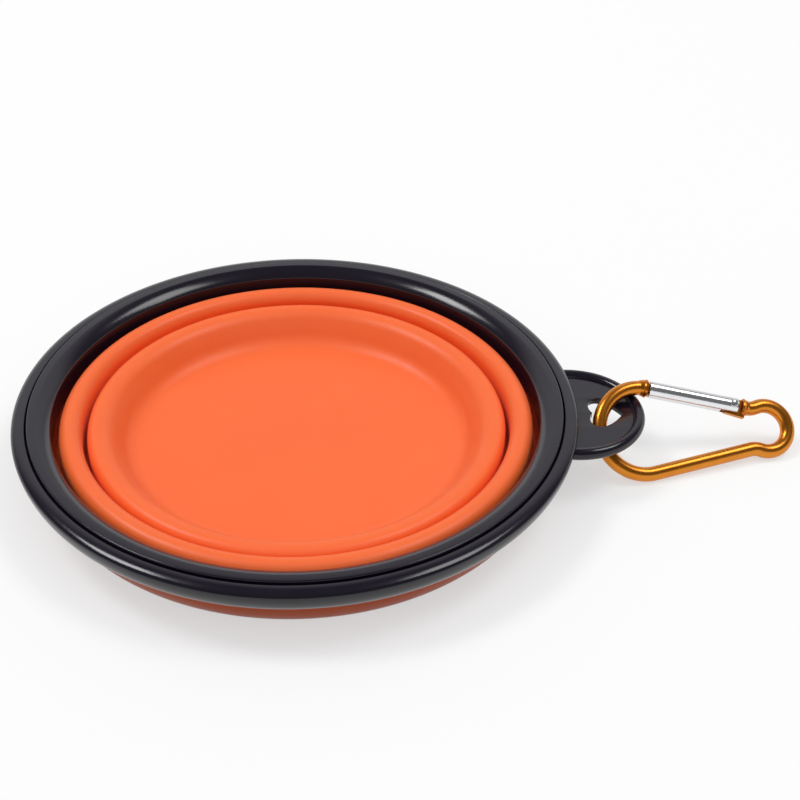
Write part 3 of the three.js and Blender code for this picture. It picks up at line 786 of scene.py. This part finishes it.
def make_hook_frame(finish):
    nose_end = GATE_START - LOOSE_GAP
    tongue_low = LOOSE_GAP - GATE_BORE / 2
    frame_rod = rod("hook_frame_rod", hook_line(), ROD_DIAMETER, finish)
    nose = collar("nose", nose_end, nose_end - NOSE_COLLAR_LENGTH, finish)
    hinge = collar("hinge", HINGE_FACE, HINGE_FACE + HINGE_COLLAR_LENGTH, finish)
    lug = limb_block(
        "lug",
        (LUG_END, -LUG_WIDTH / 2, -LUG_THICKNESS / 2),
        (HINGE_FACE + HINGE_COLLAR_LENGTH / 2, LUG_WIDTH / 2, LUG_THICKNESS / 2),
        finish,
    )
    tip = RIVET_PLACE - TAIL_REACH
    root = HINGE_FACE + HINGE_COLLAR_LENGTH / 2
    wedge = [(tip, 0), (tip, -TAIL_TIP_DEPTH), (root, -TAIL_DEPTH), (root, 0)]
    tail = placed(plate("tail", [wedge], -LUG_THICKNESS / 2, LUG_THICKNESS / 2, TAB_EDGE / 2, finish), LIMB)
    tongue = limb_block(
        "tongue",
        (nose_end - NOSE_COLLAR_LENGTH / 2, tongue_low, -TONGUE_THICKNESS / 2),
        (nose_end + TONGUE_LENGTH, tongue_low + TONGUE_DEPTH, TONGUE_THICKNESS / 2),
        finish,
    )
    return cut(joined(frame_rod, nose, hinge, lug, tail, tongue), rivet_bore(finish))


def make_gate(finish):
    far = 2 * GATE_DIAMETER
    end = RIVET_PLACE + GATE_END_PAST_RIVET
    radius = GATE_DIAMETER / 2
    edge = 0.12
    half_slot = LUG_THICKNESS / 2 + LOOSE_GAP
    slot_end = RIVET_PLACE - math.hypot(LUG_REACH, LUG_WIDTH / 2) - LOOSE_GAP
    nose_end = GATE_START + TONGUE_LENGTH + LOOSE_GAP
    nose_half = TONGUE_THICKNESS / 2 + LOOSE_GAP
    slot_low = -GATE_BORE / 2
    tube = [
        (0, GATE_START),
        (radius - edge, GATE_START),
        (radius, GATE_START + edge),
        (radius, end - edge),
        (radius - edge, end),
        (0, end),
    ]
    bore = [(0, BORE_BOTTOM), (GATE_BORE / 2, BORE_BOTTOM), (GATE_BORE / 2, end + 1), (0, end + 1)]
    return cut(
        shaft("hook_gate_tube", tube, finish),
        shaft("gate_bore", bore, finish),
        limb_block("hinge_slot", (slot_end, -far, -half_slot), (end + 1, far, half_slot), finish),
        limb_block("nose_slot", (GATE_START - 1, slot_low, -nose_half), (nose_end, far, nose_half), finish),
        rivet_bore(finish),
    )


def make_rivet(finish):
    shank = RIVET_DIAMETER / 2
    seat = GATE_DIAMETER / 2 + LOOSE_GAP / 2
    crown = arc(0, seat, RIVET_HEAD_DIAMETER / 2, RIVET_HEAD_HEIGHT, 0, 90, 10)[:-1]
    upper = [(shank, seat), *crown, (0, seat + RIVET_HEAD_HEIGHT)]
    lower = [(r, -z) for r, z in reversed(upper)]
    return placed(turned("gate_rivet_pin", [*lower, *upper], finish, SMALL_FACETS), RIVET_AXIS)


def make_spring(finish):
    values = {
        "Curls": float(SPRING_CURLS),
        "Diameter": SPRING_DIAMETER * MM,
        "Length": SPRING_LENGTH * MM,
        "Wire": SPRING_WIRE * MM,
        "Finish": finish,
    }
    spring = grown("gate_coil_spring", COIL, [(0, 0, 0), (0, 0, 1)], False, values)
    start = BORE_BOTTOM + LOOSE_GAP + SPRING_WIRE / 2
    return placed(spring, LIMB @ Matrix.Translation((start, 0, 0)) @ ALONG_X)


def make_plunger(finish):
    shoulder = BORE_BOTTOM + SPRING_LENGTH + 2 * LOOSE_GAP
    tip = LUG_END - LOOSE_GAP
    radius = PLUNGER_DIAMETER / 2
    stem = PLUNGER_STEM_DIAMETER / 2
    section = [
        (0, shoulder - PLUNGER_STEM_LENGTH),
        (stem, shoulder - PLUNGER_STEM_LENGTH),
        (stem, shoulder),
        (radius, shoulder),
        *arc(0, tip - radius, radius, radius, 0, 90, 10)[:-1],
        (0, tip),
    ]
    return shaft("gate_plunger_pin", section, finish)


# Pieces on their bodies
silicone = make_silicone()
black = make_black_plastic()
gold = make_gold()
silver = make_silver(LIMB.to_euler())
steel = make_steel()


def seated(piece, body, node):
    """Rides a piece on a body in place of its plain solid."""
    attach(piece, body)
    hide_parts(node)


seated(turned("base_cup_moulding", base_cup_section(), silicone), "base", "base_cup")
seated(turned("middle_wall_moulding", middle_wall_section(), silicone), "middle", "middle_wall")
seated(turned("rim_wall_moulding", rim_wall_section(), silicone), "rim", "rim_wall")

inner_fold = turned("inner_fold_moulding", fold_section(INNER_VALLEY, INNER_CREST), silicone)
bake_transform(inner_fold)
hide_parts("inner_fold")

outer_fold = turned("outer_fold_moulding", fold_section(OUTER_VALLEY, OUTER_CREST), silicone)
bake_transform(outer_fold)
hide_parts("outer_fold")

seated(turned("clamp_ring_moulding", clamp_ring_section(), black), "rim", "clamp_ring")
seated(make_rim_hoop(black), "rim", "rim_hoop")
seated(make_hook_frame(gold), "hook", "hook_frame")
seated(make_rivet(steel), "hook", "gate_rivet")
seated(make_gate(silver), "gate", "hook_gate")
seated(make_plunger(steel), "plunger", "gate_plunger")

spring = make_spring(steel)
seated(spring, "gate", "gate_spring")
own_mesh(spring)


# Floor with a raised edge, light and camera
FLOOR_DROP = 0.1
FLOOR_RADIUS = 5000
FLOOR_EDGE_HEIGHT = 1800
FLOOR_WHITE = 0.94
FLOOR_MOTTLE = 0.02
FLOOR_BOUNCE = 0.15
FLOOR_GLOW = 0.55
SHADOW_REACH = 0.35
SHADOW_FADE = 1.2
FILL_LIGHT = 0.13
BACKDROP_LIGHT = 0.68
OVERHEAD_LIGHT = 0.76
FRONT_LIGHT = 0.80


def make_floor():
    """Pale paper that keeps the shadow near the bowl and is plain white farther away."""
    finish = Finish("pale_paper", Roughness=0.9)
    cloud = finish.noise(160, 2)
    path = finish.add("ShaderNodeLightPath").outputs
    rays = [Field(finish, path[name]) for name in ("Is Camera Ray", "Is Glossy Ray", "Is Transmission Ray")]
    seen = (rays[0] + rays[1] + rays[2]).at_most(1)
    away = finish.field("ShaderNodeVectorMath", {"operation": "LENGTH"}, {0: finish.place}, "Value")
    plain = ((away - SHADOW_REACH) * SHADOW_FADE).at_least(0).at_most(1)
    finish.look(Base_Color=FLOOR_BOUNCE + seen * (FLOOR_WHITE - FLOOR_BOUNCE + FLOOR_MOTTLE * cloud))
    finish.shader.inputs["Specular IOR Level"].default_value = 0.0
    glow = finish.add("ShaderNodeEmission", {}, {"Color": (1, 1, 1, 1), "Strength": 1.0}).outputs[0]
    share = seen * (FLOOR_GLOW + (1 - FLOOR_GLOW) * plain)
    sockets = {0: share, 1: finish.shader.outputs["BSDF"], 2: glow}
    paper = finish.add("ShaderNodeMixShader", {}, sockets).outputs[0]
    finish.feed(finish.output.inputs["Surface"], paper)
    level = FLOOR_EDGE_HEIGHT - FLOOR_DROP
    edge = arc(FLOOR_RADIUS, level, FLOOR_EDGE_HEIGHT, FLOOR_EDGE_HEIGHT, -90, 0)
    turned("studio_floor", [(0, -FLOOR_DROP), *edge], finish.material)


def make_softbox(name, azimuth, elevation, distance, width, height, share):
    """A soft lamp aimed at the bowl that gives the stated share of full light."""
    lamp = bpy.data.lights.new(name, "AREA")
    lamp.shape = "RECTANGLE"
    lamp.size = width
    lamp.size_y = height
    lamp.energy = share * math.pi**2 * distance**2
    a = math.radians(azimuth)
    e = math.radians(elevation)
    way = Vector((math.cos(e) * math.cos(a), math.cos(e) * math.sin(a), math.sin(e)))
    holder = bpy.data.objects.new(name, lamp)
    holder.location = way * distance
    holder.rotation_euler = way.to_track_quat("Z", "Y").to_euler()
    bpy.context.collection.objects.link(holder)


def make_world():
    """Soft light from above and in front, and a bright backdrop that the gloss of the rim mirrors."""
    world = bpy.data.worlds.new("studio")
    world.use_nodes = True
    bpy.context.scene.world = world
    graph = Graph(world.node_tree)
    graph.tree.nodes.clear()
    way = graph.add("ShaderNodeTexCoord").outputs["Generated"]
    part = graph.add("ShaderNodeSeparateXYZ", {}, {0: way}).outputs
    back = Field(graph, part["Y"])
    height = Field(graph, part["Z"])
    mirrored = Field(graph, graph.add("ShaderNodeLightPath").outputs["Is Glossy Ray"])
    backdrop = (5 * back - 2.5).at_least(0).at_most(1) * (0.05 + 1.9 * height).at_most(1)
    overhead = height * (OVERHEAD_LIGHT * height - FRONT_LIGHT * back)
    strength = FILL_LIGHT + BACKDROP_LIGHT * backdrop + (1 - mirrored) * overhead.at_least(0)
    light = graph.add("ShaderNodeBackground", {}, {"Color": (1, 1, 1, 1), "Strength": strength})
    output = graph.add("ShaderNodeOutputWorld")
    graph.feed(output.inputs["Surface"], light.outputs[0])


CAMERA_PLACE = (16.29, -277.87, 218.72)
VIEW_DROP = math.radians(36.20)
VIEW_YAW = math.radians(-1.5)
VIEW_ROLL = math.radians(1.22)
LENS = 67.5
SENSOR_WIDTH = 36


def make_camera():
    lens = bpy.data.cameras.new("camera")
    lens.lens = LENS
    lens.sensor_width = SENSOR_WIDTH
    lens.clip_start = 0.01
    camera = bpy.data.objects.new("camera", lens)
    tilt = Matrix.Rotation(math.pi / 2 - VIEW_DROP, 4, "X")
    turn = Matrix.Rotation(VIEW_YAW, 4, "Z")
    roll = Matrix.Rotation(VIEW_ROLL, 4, "Z")
    camera.matrix_world = Matrix.Translation(Vector(CAMERA_PLACE) * MM) @ turn @ tilt @ roll
    bpy.context.collection.objects.link(camera)
    bpy.context.scene.camera = camera


make_floor()
make_softbox("left_softbox", azimuth=164, elevation=57, distance=2.4, width=0.72, height=0.66, share=0.30)
make_softbox("right_softbox", azimuth=13, elevation=62, distance=2.4, width=0.95, height=0.75, share=0.22)
make_world()
make_camera()
bpy.context.scene.view_settings.view_transform = "Standard"
